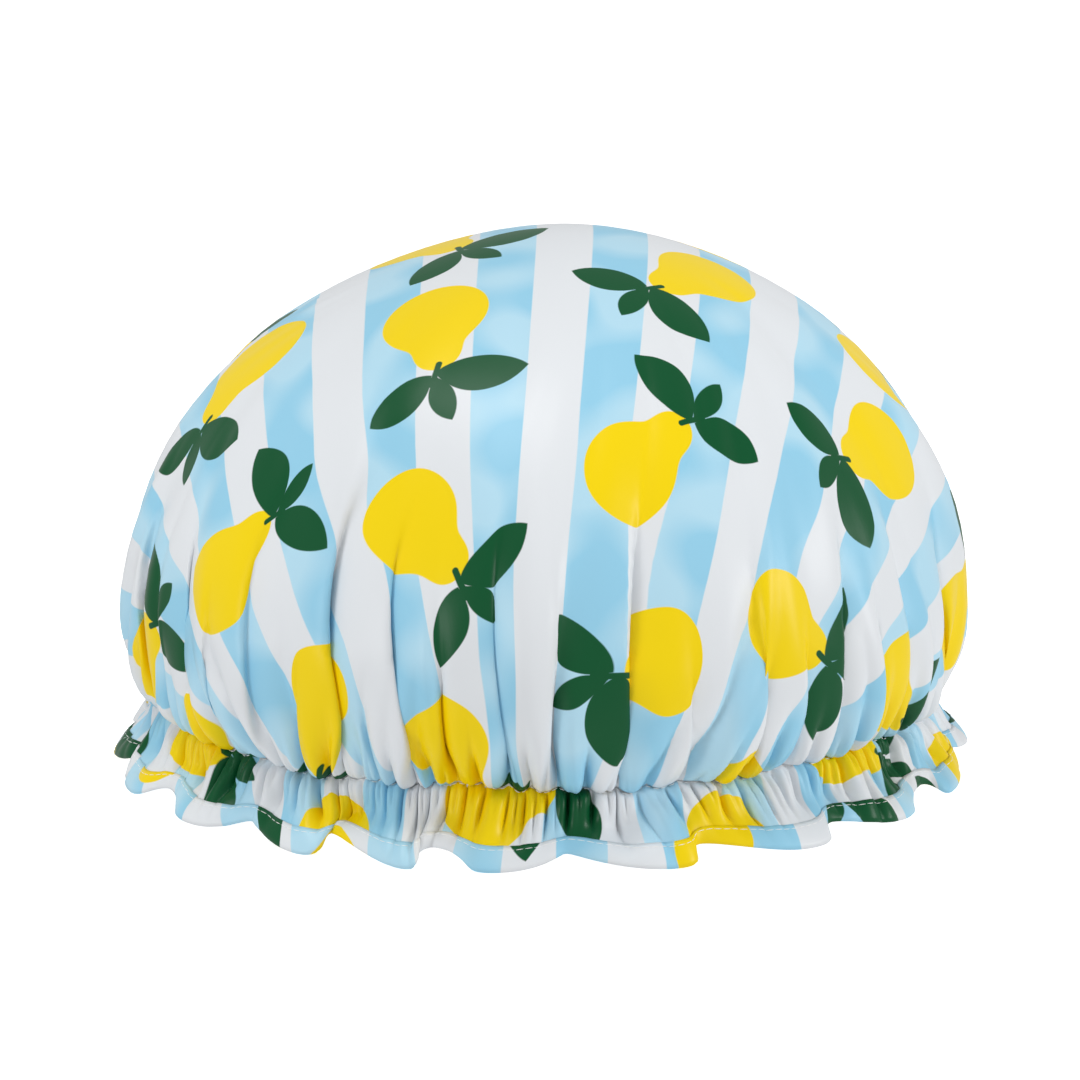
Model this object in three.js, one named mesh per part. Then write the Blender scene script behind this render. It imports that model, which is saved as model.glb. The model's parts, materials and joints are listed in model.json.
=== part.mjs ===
// A gathered shower cap: a puffed cloth crown with a waterproof film inside it, a covered elastic round
// its mouth, and a waved frill with a bound hem below the elastic. It stands on the hem of its frill.
// Millimetres, +Z up, the front faces -Y, and the hem's lowest waves rest on Z = 0.
import * as THREE from "three";

// The mouth, where the crown and the frill meet at the gathered seam.
const SEAM_RADIUS = 131;
const FRILL_DROP = 23;

// The crown above the seam: how far it swells past the seam, and how high it stands over its widest level.
const CROWN_OVERHANG = 14;
const BULGE_RISE = 37;
const DOME_RISE = 122;
const APEX_LEAN = 8;
const CROWN_FOLDS = 24;
const FOLD_DEPTH = 10;

// The frill below the seam, and the folded band that binds its lower edge.
const FRILL_FLARE = 8;
const FRILL_WAVES = 20;
const WAVE_DEPTH = 5.5;
const HEM_LIFT = 5;
const HEM_DEPTH = 8;
const HEM_STITCH_INSET = 1.5;

// Sheets, threads and the clearance kept between pieces that touch.
const CLOTH_THICKNESS = 0.5;
const FILM_THICKNESS = 0.3;
const TAPE_THICKNESS = 0.4;
const THREAD_WIDTH = 0.5;
const CLEARANCE = 0.3;
const GATHER_EASE = 0.5; // round a gathered edge, whose corners don't face the corners of its neighbour

// The flat elastic in its casing of folded tape, inside the seam.
const ELASTIC_WIDTH = 6;
const ELASTIC_THICKNESS = 0.8;
const ELASTIC_LAP = 15;
const ELASTIC_RISE = 2.2;
const TACK_MARGIN = 1;
const SEAM_ALLOWANCE = 7;
const CASING_STITCH_RISE = 1.1;
const JOIN_STITCH_MARGIN = 1.5;

// Worked out from the sizes above.
const CROWN_RADIUS = SEAM_RADIUS + CROWN_OVERHANG;
const SEAM_HEIGHT = FRILL_DROP;
const BULGE_HEIGHT = SEAM_HEIGHT + BULGE_RISE;
const THREAD_RADIUS = THREAD_WIDTH / 2;

// Columns of points round the cap: three to each fold of the crown, six to each wave of the frill.
const CROWN_COLUMNS = 3 * CROWN_FOLDS;
const FRILL_COLUMNS = 6 * FRILL_WAVES;
const BACK_SHARE = 0.25; // of a turn, from +X towards +Y, where strips are joined end to end

// The crown's rows run from 0 at the top through 1 at its widest level to 2 at the seam.
const CROWN_ROW_SHARES = [0, 0.18, 0.36, 0.56, 0.78, 1, 1.4, 1.75, 2];
const TUCK_ANGLE = THREE.MathUtils.degToRad(65);
const SHOULDER_POWER = 1.157;
const FOLD_START_SHARE = 0.35;
const FOLD_FULL_SHARE = 1.5;
const LEAST_FOLD_SHARE = 0.44;
const LEAST_WAVE_SHARE = 0.6;
const RESTING_SHARE = 0.36; // of each wave's swing, in which the hem rests flat
const UNEVENNESS = 2.4; // radians from one fold's size to the next's

const turn = 2 * Math.PI;
const smooth = THREE.MathUtils.smoothstep;

// The angle of a share of a turn. Folds are even in the share and so a little uneven in the angle.
function angleAt(share) {
  return turn * share + 0.07 * Math.sin(2 * turn * share + 1) + 0.03 * Math.sin(5 * turn * share);
}

function pointAt(share, radius, height, shift = 0) {
  const angle = angleAt(share);
  return [radius * Math.cos(angle) + shift, radius * Math.sin(angle), height];
}

// The crown's smooth outline at a row: its radius, its height and its outward normal, with no folds.
function crownOutline(row) {
  if (row <= 1) {
    const a = (row * Math.PI) / 2;
    const radius = CROWN_RADIUS * Math.sin(a) ** SHOULDER_POWER;
    const slope = CROWN_RADIUS * SHOULDER_POWER * Math.sin(a) ** (SHOULDER_POWER - 1) * Math.cos(a);
    const fall = DOME_RISE * Math.sin(a);
    const length = Math.hypot(slope, fall);
    const normal = row === 0 ? [0, 1] : [fall / length, slope / length];
    return { radius, height: BULGE_HEIGHT + DOME_RISE * Math.cos(a), normal };
  }
  const a = (row - 1) * TUCK_ANGLE;
  const inward = CROWN_OVERHANG / (1 - Math.cos(TUCK_ANGLE));
  const downward = BULGE_RISE / Math.sin(TUCK_ANGLE);
  const slope = inward * Math.sin(a);
  const fall = downward * Math.cos(a);
  const length = Math.hypot(slope, fall);
  return {
    radius: CROWN_RADIUS - inward * (1 - Math.cos(a)),
    height: BULGE_HEIGHT - downward * Math.sin(a),
    normal: [fall / length, -slope / length],
  };
}

// How deep the folds are at a row: none on top, and deepest below the crown's widest level.
function foldShare(row) {
  return smooth(row, FOLD_START_SHARE, FOLD_FULL_SHARE);
}

// The size of one fold or wave as a share of the largest, from its number and the smallest share.
function unevenShare(number, leastShare) {
  return leastShare + (1 - leastShare) * (0.5 + 0.5 * Math.sin(UNEVENNESS * number));
}

// How far a fold draws the crown in: 0 on its round back and 1 in the deepest crease.
function creaseShare(share) {
  const fold = share * CROWN_FOLDS;
  const depth = unevenShare(Math.round(fold) % CROWN_FOLDS, LEAST_FOLD_SHARE);
  return depth * (1 - Math.abs(Math.sin(Math.PI * fold)));
}

// Below the crown's widest level its creases go no further in than the seam, which leaves the casing room.
function crownPoint(share, row, depth) {
  const { radius, height, normal } = crownOutline(row);
  const room = row > 1 ? radius - SEAM_RADIUS : FOLD_DEPTH;
  const inset = depth + Math.min(room, FOLD_DEPTH * foldShare(row) * creaseShare(share));
  const lean = APEX_LEAN * Math.max(0, (height - BULGE_HEIGHT) / DOME_RISE) ** 2;
  return pointAt(share, radius - inset * normal[0], height - inset * normal[1], lean);
}

// The frill's wave at a share of the turn, from -1 where it folds in to 1 where it swings out.
function waveShare(share) {
  const wave = share * FRILL_WAVES;
  return unevenShare(Math.round(wave) % FRILL_WAVES, LEAST_WAVE_SHARE) * Math.cos(turn * wave);
}

// The height of the hem's lower edge: waves that swing out rest flat, and the folds between them lift.
function hemHeight(share) {
  const inward = 0.5 - 0.5 * waveShare(share);
  return (HEM_LIFT * Math.max(0, inward - RESTING_SHARE)) / (1 - RESTING_SHARE);
}

// A point of the frill or its band at a height, held off the middle of the cloth by an offset.
function frillPoint(share, height, offset) {
  const low = hemHeight(share);
  const seam = SEAM_HEIGHT - CLEARANCE - CLOTH_THICKNESS;
  const down = 1 - (height - low) / (seam - low);
  const top = SEAM_RADIUS - CLOTH_THICKNESS / 2;
  return pointAt(share, top + down * (FRILL_FLARE + WAVE_DEPTH * waveShare(share)) + offset, height);
}

// One closed surface from points and triangles.
function solid(points, triangles) {
  const geometry = new THREE.BufferGeometry();
  geometry.setAttribute("position", new THREE.Float32BufferAttribute(points.flat(), 3));
  geometry.setIndex(triangles.flat());
  return geometry;
}

// The triangles between neighbouring loops of points: a number of cells on each of a number of spans.
// Each cell is cut from its lower corner on one loop to its upper corner on the next, so that sheets
// which lie in one another keep their clearance.
function skin(loops, spans, cells) {
  const size = loops[0].length;
  const triangles = [];
  for (let i = 0; i < spans; i += 1) {
    const here = i * size;
    const next = ((i + 1) % loops.length) * size;
    for (let j = 0; j < cells; j += 1) {
      const k = (j + 1) % size;
      const rising = loops[i][k][2] >= loops[i][j][2];
      const [a, b, c, d] = [here + j, next + j, next + k, here + k];
      triangles.push(...(rising ? [[a, b, c], [a, c, d]] : [[a, b, d], [b, c, d]]));
    }
  }
  return triangles;
}

// A ring swept right round the cap, from the section that each column gives.
function ring(columns, section) {
  const loops = Array.from({ length: columns }, (_, i) => section(i / columns));
  return solid(loops.flat(), skin(loops, columns, loops[0].length));
}

// A strip or thread with two flat ends, swept through a list of sections.
function strip(loops) {
  const size = loops[0].length;
  const triangles = skin(loops, loops.length - 1, size);
  const end = (loops.length - 1) * size;
  for (let j = 1; j < size - 1; j += 1) {
    triangles.push([0, j, j + 1], [end, end + j + 1, end + j]);
  }
  return solid(loops.flat(), triangles);
}

// A dome of cloth: its inside from the top down to its edge, then its outside back up to the top.
function dome(outerDepth, innerDepth) {
  const rows = CROWN_ROW_SHARES.slice(1);
  const inner = rows.map((row) => [row, innerDepth]);
  const outer = rows.toReversed().map((row) => [row, outerDepth]);
  const path = [...inner, ...outer];
  const loops = Array.from({ length: CROWN_COLUMNS }, (_, i) =>
    path.map(([row, depth]) => crownPoint(i / CROWN_COLUMNS, row, depth)),
  );
  const triangles = skin(loops, CROWN_COLUMNS, path.length - 1);
  const top = CROWN_COLUMNS * path.length;
  for (let i = 0; i < CROWN_COLUMNS; i += 1) {
    const here = i * path.length;
    const next = ((i + 1) % CROWN_COLUMNS) * path.length;
    triangles.push([top, next, here], [top + 1, here + path.length - 1, next + path.length - 1]);
  }
  return solid([...loops.flat(), crownPoint(0, 0, innerDepth), crownPoint(0, 0, outerDepth)], triangles);
}

// A thread's four-cornered section round its middle, as offsets outward and upward.
const THREAD_CORNERS = [
  [THREAD_RADIUS, 0],
  [0, THREAD_RADIUS],
  [-THREAD_RADIUS, 0],
  [0, -THREAD_RADIUS],
];

// Radii inside the seam, from the lining inward through the casing: each stands off the one before it.
const seamEdge = crownOutline(2);
const LINING_DEPTH = CLOTH_THICKNESS + CLEARANCE;
const TAPE_OUTSIDE = SEAM_RADIUS - (LINING_DEPTH + FILM_THICKNESS) * seamEdge.normal[0] - CLEARANCE;
const ALLOWANCE_OUTSIDE = TAPE_OUTSIDE - TAPE_THICKNESS - GATHER_EASE;
const ELASTIC_OUTSIDE = ALLOWANCE_OUTSIDE - CLOTH_THICKNESS - GATHER_EASE;
const LAP_STEP = ELASTIC_THICKNESS + CLEARANCE;
const TACK_RADIUS = ELASTIC_OUTSIDE - LAP_STEP - ELASTIC_THICKNESS - CLEARANCE - THREAD_RADIUS;
const INNER_LEG_OUTSIDE = TACK_RADIUS - THREAD_RADIUS - CLEARANCE;
const TAPE_INSIDE = INNER_LEG_OUTSIDE - TAPE_THICKNESS;

// Heights in the casing.
const ELASTIC_BOTTOM = SEAM_HEIGHT + ELASTIC_RISE;
const ELASTIC_TOP = ELASTIC_BOTTOM + ELASTIC_WIDTH;
const CHANNEL_TOP = Math.max(ELASTIC_TOP, SEAM_HEIGHT + SEAM_ALLOWANCE) + CLEARANCE;
const CASING_TOP = CHANNEL_TOP + TAPE_THICKNESS;

function crownShell() {
  return dome(0, CLOTH_THICKNESS);
}

function waterproofLining() {
  return dome(LINING_DEPTH, LINING_DEPTH + FILM_THICKNESS);
}

// The frill's strip: up from its bound edge to the seam, in under the crown's edge, and up into the casing.
function frill() {
  const half = CLOTH_THICKNESS / 2;
  const underCrown = SEAM_HEIGHT - CLEARANCE;
  const underFrill = underCrown - CLOTH_THICKNESS;
  const allowanceInside = ALLOWANCE_OUTSIDE - CLOTH_THICKNESS;
  const allowanceTop = SEAM_HEIGHT + SEAM_ALLOWANCE;
  return ring(FRILL_COLUMNS, (share) => {
    const low = hemHeight(share) + CLOTH_THICKNESS + CLEARANCE;
    const middle = hemHeight(share) + HEM_DEPTH;
    return [
      frillPoint(share, low, half),
      frillPoint(share, middle, half),
      pointAt(share, SEAM_RADIUS, underCrown),
      pointAt(share, ALLOWANCE_OUTSIDE, underCrown),
      pointAt(share, ALLOWANCE_OUTSIDE, allowanceTop),
      pointAt(share, allowanceInside, allowanceTop),
      pointAt(share, allowanceInside, underFrill),
      frillPoint(share, underFrill, -half),
      frillPoint(share, middle, -half),
      frillPoint(share, low, -half),
    ];
  });
}

// How far the hem band's two faces stand off the middle of the frill's cloth.
const BAND_INSIDE = CLOTH_THICKNESS / 2 + CLEARANCE;
const BAND_OUTSIDE = BAND_INSIDE + CLOTH_THICKNESS;

// The strip folded under the frill's raw edge, open upward round it.
function hemBand() {
  return ring(FRILL_COLUMNS, (share) => {
    const low = hemHeight(share);
    const fold = low + CLOTH_THICKNESS;
    const top = low + HEM_DEPTH;
    return [
      frillPoint(share, low, BAND_OUTSIDE),
      frillPoint(share, top, BAND_OUTSIDE),
      frillPoint(share, top, BAND_INSIDE),
      frillPoint(share, fold, BAND_INSIDE),
      frillPoint(share, fold, -BAND_INSIDE),
      frillPoint(share, top, -BAND_INSIDE),
      frillPoint(share, top, -BAND_OUTSIDE),
      frillPoint(share, low, -BAND_OUTSIDE),
    ];
  });
}

// The tape folded over the elastic and the frill's allowance, open downward.
function casingTape() {
  const corners = [
    [TAPE_OUTSIDE, SEAM_HEIGHT],
    [TAPE_OUTSIDE, CASING_TOP],
    [TAPE_INSIDE, CASING_TOP],
    [TAPE_INSIDE, SEAM_HEIGHT],
    [INNER_LEG_OUTSIDE, SEAM_HEIGHT],
    [INNER_LEG_OUTSIDE, CHANNEL_TOP],
    [TAPE_OUTSIDE - TAPE_THICKNESS, CHANNEL_TOP],
    [TAPE_OUTSIDE - TAPE_THICKNESS, SEAM_HEIGHT],
  ];
  return ring(CROWN_COLUMNS, (share) => corners.map(([radius, height]) => pointAt(share, radius, height)));
}

// The share of a turn that the elastic's ends lie over each other.
const LAP_SHARE = ELASTIC_LAP / (turn * ELASTIC_OUTSIDE);

// The elastic: one turn and a lap, with its last end stepped inside its first.
function elasticBand() {
  const turnSteps = Array.from({ length: CROWN_COLUMNS + 1 }, (_, i) => i / CROWN_COLUMNS);
  const shares = [...turnSteps, 1 + LAP_SHARE / 2, 1 + LAP_SHARE];
  return strip(
    shares.map((share) => {
      const outside = ELASTIC_OUTSIDE - (share >= 1 ? LAP_STEP : 0);
      const inside = outside - ELASTIC_THICKNESS;
      return [
        pointAt(share + BACK_SHARE, outside, ELASTIC_BOTTOM),
        pointAt(share + BACK_SHARE, outside, ELASTIC_TOP),
        pointAt(share + BACK_SHARE, inside, ELASTIC_TOP),
        pointAt(share + BACK_SHARE, inside, ELASTIC_BOTTOM),
      ];
    }),
  );
}

// The zigzag that holds the lapped ends of the elastic together.
function elasticJoinThread() {
  const legs = 8;
  const low = ELASTIC_BOTTOM + TACK_MARGIN;
  const high = ELASTIC_TOP - TACK_MARGIN;
  const points = Array.from({ length: legs + 1 }, (_, i) => {
    const share = BACK_SHARE + (LAP_SHARE * (i + 1)) / (legs + 2);
    return new THREE.Vector3(...pointAt(share, TACK_RADIUS, i % 2 ? high : low));
  });
  const section = new THREE.Shape().absarc(0, 0, THREAD_RADIUS, 0, turn);
  return new THREE.ExtrudeGeometry(section, {
    extrudePath: new THREE.CatmullRomCurve3(points),
    steps: 6 * legs,
    curveSegments: 3,
    bevelEnabled: false,
  });
}

// A thread lying right round the cap, whose middle is at a radius and a height.
function roundThread(radius, height) {
  return ring(CROWN_COLUMNS, (share) =>
    THREAD_CORNERS.map(([out, up]) => pointAt(share, radius + out, height + up)),
  );
}

// The row that gathers the crown and the frill together, in the groove between their edges.
function gatherSeamThread() {
  return roundThread(SEAM_RADIUS + CLEARANCE + THREAD_RADIUS, SEAM_HEIGHT - CLEARANCE / 2);
}

// The row that closes the casing below the elastic, on the side of the head.
function casingSeamThread() {
  return roundThread(TAPE_INSIDE - CLEARANCE - THREAD_RADIUS, SEAM_HEIGHT + CASING_STITCH_RISE);
}

// The row that holds the hem band, on its outside near its upper edge.
function hemSeamThread() {
  const offset = BAND_OUTSIDE + CLEARANCE + THREAD_RADIUS;
  return ring(FRILL_COLUMNS, (share) => {
    const height = hemHeight(share) + HEM_DEPTH - HEM_STITCH_INSET;
    return THREAD_CORNERS.map(([out, up]) => frillPoint(share, height + up, offset + out));
  });
}

// A short upright row of stitches, as a thread through a list of points that each height gives.
function uprightThread(heights, place) {
  return strip(
    heights.map((height) => {
      const width = THREAD_RADIUS / (turn * SEAM_RADIUS);
      return [
        place(height, BACK_SHARE + width, 0),
        place(height, BACK_SHARE, THREAD_RADIUS),
        place(height, BACK_SHARE - width, 0),
        place(height, BACK_SHARE, -THREAD_RADIUS),
      ];
    }),
  );
}

// The seam that joins the frill's two ends, on its inside at the back.
function frillJoinThread() {
  const low = hemHeight(BACK_SHARE) + HEM_DEPTH + JOIN_STITCH_MARGIN;
  const high = SEAM_HEIGHT - CLOTH_THICKNESS - JOIN_STITCH_MARGIN;
  const offset = -CLOTH_THICKNESS / 2 - CLEARANCE - THREAD_RADIUS;
  return uprightThread([low, high], (height, share, out) => frillPoint(share, height, offset + out));
}

// The seam that joins the hem band's two ends, on its inside at the back.
function bandJoinThread() {
  const low = hemHeight(BACK_SHARE) + JOIN_STITCH_MARGIN;
  const high = low + HEM_DEPTH - 2 * JOIN_STITCH_MARGIN;
  const offset = -BAND_OUTSIDE - CLEARANCE - THREAD_RADIUS;
  return uprightThread([low, high], (height, share, out) => frillPoint(share, height, offset + out));
}

// The tack that joins the casing tape's two ends, on the side of the head.
function tapeJoinThread() {
  const low = SEAM_HEIGHT + CASING_STITCH_RISE + THREAD_WIDTH + CLEARANCE;
  const high = CASING_TOP - JOIN_STITCH_MARGIN;
  const radius = TAPE_INSIDE - CLEARANCE - THREAD_RADIUS;
  return uprightThread([low, high], (height, share, out) => pointAt(share, radius + out, height));
}

function material(color, roughness) {
  return new THREE.MeshStandardMaterial({ color, roughness, metalness: 0 });
}

const skyCloth = material(0xa9d6ef, 0.45);
const paleCloth = material(0xe9eef3, 0.45);
const film = material(0xf2f4f5, 0.3);
const tape = material(0xf0f2f4, 0.7);
const elastic = material(0xf6f6f2, 0.8);
const thread = material(0xf7f9f8, 0.6);

const SUB_PARTS = [
  ["crown_shell", crownShell, skyCloth],
  ["waterproof_lining", waterproofLining, film],
  ["frill", frill, skyCloth],
  ["hem_band", hemBand, paleCloth],
  ["casing_tape", casingTape, tape],
  ["elastic_band", elasticBand, elastic],
  ["elastic_join_thread", elasticJoinThread, thread],
  ["gather_seam_thread", gatherSeamThread, thread],
  ["casing_seam_thread", casingSeamThread, thread],
  ["hem_seam_thread", hemSeamThread, thread],
  ["frill_join_thread", frillJoinThread, thread],
  ["band_join_thread", bandJoinThread, thread],
  ["tape_join_thread", tapeJoinThread, thread],
];

const cap = new THREE.Group();
for (const [name, make, finish] of SUB_PARTS) {
  const mesh = new THREE.Mesh(make(), finish);
  mesh.name = name;
  cap.add(mesh);
}

export default cap;
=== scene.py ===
# A gathered shower cap, dressed round its CAD frame: a printed satin crown over a waterproof film, a
# frill with a bound hem, and a covered elastic round the mouth. Metres, +Z up, and the front faces -Y.
import json
import math

import bpy
import numpy as np
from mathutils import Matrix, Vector

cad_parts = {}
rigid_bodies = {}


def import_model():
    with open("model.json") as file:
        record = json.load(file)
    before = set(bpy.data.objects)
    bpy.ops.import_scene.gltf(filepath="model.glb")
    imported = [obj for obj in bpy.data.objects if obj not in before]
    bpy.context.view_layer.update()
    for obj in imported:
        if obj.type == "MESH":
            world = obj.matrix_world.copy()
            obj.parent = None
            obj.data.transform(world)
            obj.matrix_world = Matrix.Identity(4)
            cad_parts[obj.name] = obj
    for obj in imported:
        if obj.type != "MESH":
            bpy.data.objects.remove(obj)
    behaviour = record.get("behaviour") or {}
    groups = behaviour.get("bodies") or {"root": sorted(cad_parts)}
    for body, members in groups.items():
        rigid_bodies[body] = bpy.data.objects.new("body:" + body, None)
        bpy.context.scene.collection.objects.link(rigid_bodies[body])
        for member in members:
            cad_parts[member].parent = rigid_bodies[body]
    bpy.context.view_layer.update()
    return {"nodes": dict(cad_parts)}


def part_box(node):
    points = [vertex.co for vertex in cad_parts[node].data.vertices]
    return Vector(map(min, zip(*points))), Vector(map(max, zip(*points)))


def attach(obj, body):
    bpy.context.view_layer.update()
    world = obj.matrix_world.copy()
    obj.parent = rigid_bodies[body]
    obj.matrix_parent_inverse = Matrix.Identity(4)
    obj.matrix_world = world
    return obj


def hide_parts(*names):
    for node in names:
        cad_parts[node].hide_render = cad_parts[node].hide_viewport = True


for extra in list(bpy.data.objects):
    bpy.data.objects.remove(extra)
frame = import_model()

TURN = 2 * math.pi
BACK = TURN / 4

# The cap's sizes, the same as the frame's
SEAM_RADIUS = 0.131
SEAM_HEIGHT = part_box("crown_shell")[0].z
TOP_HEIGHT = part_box("crown_shell")[1].z
CROWN_RADIUS = 0.145
WIDEST_HEIGHT = 0.060
APEX_LEAN = 0.008
SHOULDER_POWER = 1.157
TUCK_ANGLE = math.radians(46)
FRILL_START = math.radians(46)
FRILL_END = math.radians(74)
FRILL_CUT = 0.0258
FRILL_WAVES = 20
HEM_LIFT = 0.005
HEM_DEPTH = 0.008
CROWN_FOLDS = 24
UNEVENNESS = 2.4
# A table of waves has, for each, how many there are in a turn, the size, the phase and the drift
PLACE_WAVES = ((2, 0.07, 1, 0), (5, 0.03, 0, 0))
PLACE_RANGE_SHARES = (-0.75, 2.0)
PLACE_STEPS = 5501

# How fine the meshes are
COLUMNS = 768
FINE_COLUMNS = 2 * COLUMNS
FILM_COLUMNS = 480
DOME_ROWS = 26
GATHERED_ROWS = 18
GATHERED_SHARE = 0.2
DOME_SHARE = 1 - GATHERED_SHARE
ROW_CROWDING = 1.6
FRILL_ROWS = 24
BAND_ROWS = 7
JOIN_POINTS = 30
PROFILE_STEPS = 4001
WAVE_STEPS = 8001
NORMAL_STEP = 0.002
STITCH_STEPS = 5
STITCH_SIDES = 6

# Thicknesses of the cloth, and gaps between its layers
SATIN_THICKNESS = 0.00025
FILM_THICKNESS = 0.00015
TAPE_THICKNESS = 0.0003
FILM_GAP = 0.0008
SEAM_GAP = 0.0005
TAPE_GAP = 0.0007
LEAST_ROOM = 0.0004
INNERMOST = 0.1304

# The long folds: a main one from each fold of the frame, and a lesser one between each two
FOLD_SEED = 11
MAIN_FOLD = dict(width=0.0036, crease=0.0030, trough=0.0056, overlap=0.0068)
MAIN_SIZE_SHARES = (0.8, 1.15)
MAIN_START_SHARES = (0.38, 0.56)
LESSER_FOLD = dict(width=0.0028, crease=0.0026, trough=0.0028, overlap=0.0044)
LESSER_SIZE_SHARES = (0.45, 1)
LESSER_START_SHARES = (0.50, 0.80)
LEAST_FOLD_SHARE = 0.44
FOLD_ASIDE_SHARE = 0.2
FOLD_SLANT = 0.16
FOLD_CURLS = (0.004, 0.02)
CURL_RATE = 14
FOLD_GROWTH_SHARE = 0.75
FOLD_SPREADING = 1.6
TROUGH_SPREADING = 2.6
ROLL_RISE_SHARE = 0.35
SEWN_OVERLAP_SHARE = 0.12
SEWN_SHARES = (0.90, 1)

# The round tubes of cloth that the seam draws up, and the groove that it lies in
TUBE_HOLD_SHARE = 0.25
TUBE_VALLEY_SHARE = 0.28
TUBE_PINCH_SHARE = 0.08
TUBE_FADE_POWER = 1.5
PITCH_WAVES = ((13, 0.005, 1, 0), (29, 0.002, 2, 0), (53, 0.003, 4, 0))
SLANT_WAVES = ((3, 0.16, 2, 0), (7, 0.14, 0, 0), (13, 0.05, 1, 0))
# How many times in a turn a tube's height and length rise and fall, and by what share
HEIGHT_SHARES = ((17, 0.25), (31, 0.25))
LENGTH_SHARES = ((11, 0.25), (23, 0.20))
GROOVE_DEPTH = 0.0009
GROOVE_LENGTH = 0.0016
# Each kind of tube: how many, height, length, how far from the seam it begins, and its phases
CROWN_GATHERS = ((8 * CROWN_FOLDS, 0.0013, 0.0055, 0.0020, (2, 1, 0)),
                 (4 * CROWN_FOLDS, 0.0034, 0.0105, 0.0015, (1, 4, 3)),
                 (2 * CROWN_FOLDS, 0.0034, 0.0210, 0.0080, (2, 5, 1)))
FRILL_GATHERS = ((10 * CROWN_FOLDS, 0.0017, 0.0044, 0.0004, (2, 1, 0)),
                 (5 * CROWN_FOLDS, 0.0028, 0.0072, 0.0015, (1, 4, 3)))

# How the dome sways, and its soft creases: how many, depth, how far each wanders, and its phase
DOME_SWAYS = ((3, 0.0012, 1, 0), (5, 0.0010, 2.2, 3), (9, 0.0011, 1, 4), (14, 0.0009, 2, -5))
SWAY_RISE_SHARES = (0.25, 0.7)
SWAY_FALL_SHARES = (0.9, 1)
DOME_CREASES = ((13, 0.0022, 2.6, 1), (19, 0.0016, -2.2, 4), (31, 0.0008, 3.0, 2))
CREASE_RISE_SHARES = (0.20, 0.60)
CREASE_FALL_SHARES = (0.85, 0.97)
CREASE_SHARPNESS = 2.0
CREASE_FILL_SHARE = 0.3
WANDER_COUNT = 3
WANDER_DRIFT = 5
SPREAD_COUNT = 5
SPREAD_DRIFT = 8

# How the seam rises and falls, and how folds turn level there
SEAM_SWAYS = ((7, 0.0006, 1, 0), (11, 0.0004, 2, 0))
SEAM_SWAY_SHARES = (0.88, 1)
SCALLOP = 0.0016
SCALLOP_COUNT = 4 * CROWN_FOLDS
SCALLOP_HEIGHT_SHARES = ((23, 0.5),)
SCALLOP_MIDDLE_SHARE = 0.6
LEVEL_SHARE = 0.4
LEVEL_START_SHARES = (0.99, 1)

# The film inside the crown: how many layers of satin outward it may lie, how many of its columns either
# way it keeps clear of a fold and is softened over, and how it closes up to the satin at the seam
LOOSEST_LAYERS = 8
FILM_WIDENING = 3
FILM_SOFTENING = 2
FILM_CLOSING_SHARE = 0.5
FILM_CLOSING_START_SHARES = (0.96, 1)

# The frill, its waves and its folds
WAVE_SEED = 5
LEAST_WAVE_SHARE = 0.6
WAVE_SIZE_SHARES = (0.85, 1.25)
WAVE_LEAN_SHARES = (0.2, 1)
WAVE_HEIGHT = 0.0048
WAVE_LEAN = 0.0095
WAVE_POWER = 1.2
VALLEY_SHARE = 0.15
FRILL_FULLNESS = 1.3
FRILL_LENGTH = FRILL_FULLNESS * TURN * SEAM_RADIUS
FRILL_TURN_SHARES = (0, 0.12)
FRILL_MIRROR_SHARE = 0.22
FRILL_ROOM = 0.03
FRILL_FOLD_SHARES = (0.3, 1)
FRILL_OVERLAP_SHARES = (0.1, 0.9)
FRILL_SHORT_SHARE = 0.04
# The rows of the frill's allowance under the seam: how far inward and up, and the cloth up to the seam
FRILL_ALLOWANCE = 0.0086
ALLOWANCE_PLACES = ((0.0024, 0.0070), (0.0024, 0.0022), (0.0018, 0.0004), (0.0008, 0.0))
ALLOWANCE_LENGTHS = (FRILL_ALLOWANCE, 0.0038, 0.002, 0.0007)

# The band folded round the frill's edge
HEM_HALF = 0.0004
HEM_ROUND_SHARE = 0.3
HEM_EDGE_SHARE = 0.6
HEM_STITCH_INSET = 0.0015

# The tape folded over the elastic: rises from the seam, insets from its outer side, sinks from its top
TAPE_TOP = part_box("casing_tape")[1].z
TAPE_OUTER = 0.1296
TAPE_INNER = 0.1249
OUTSIDE_RISES = (0.0, 0.0012, 0.0028, 0.0060)
OUTSIDE_GATHER_SHARES = (1.0, 0.6, 0.0, 0.0)
OVER_INSETS = (0.0002, 0.0010, 0.0024, 0.0038, 0.0045)
OVER_SINKS = (0.0006, 0.0001, 0.0, 0.0001, 0.0006)
INSIDE_RISES = (0.0066, 0.0048, 0.0030, 0.0018, 0.0010, 0.0004)
INSIDE_OUTSETS = (0.0001, 0.0, 0.0001, 0.0006, 0.0014, 0.0022)
INSIDE_RUCHE_SHARES = (0.5, 1.0, 1.0, 0.9, 0.6, 0.3)
RUCHE_DEPTH = 0.0012
TOP_RUCHE_RISE = 0.0003
TOP_RUCHE_DEPTH = 0.0001
TAPE_STITCH_ROW = -4
TAPE_JOIN_ROWS = slice(10, 14)

# Each kind of stitch: its length, the gap to the next one and the thread's radius
HEM_STITCH = (0.0025, 0.0005, 0.00011)
CASING_STITCH = (0.0022, 0.0008, 0.0002)
GATHER_STITCH = (0.0022, 0.0006, 0.00015)
JOIN_STITCH = (0.0018, 0.0006, 0.0002)
TAPE_JOIN_STITCH = (0.0016, 0.0005, 0.0002)
FRILL_JOIN_SHARES = (0.08, 0.66)
BAND_JOIN_SHARES = (0.75, 0.96)
# The share at each end of a stitch where it gets no thinner, and how it bows out and sinks in, in radii
STITCH_END_SHARE = 0.02
STITCH_BOW = 1.2
STITCH_SINK = 0.5


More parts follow.
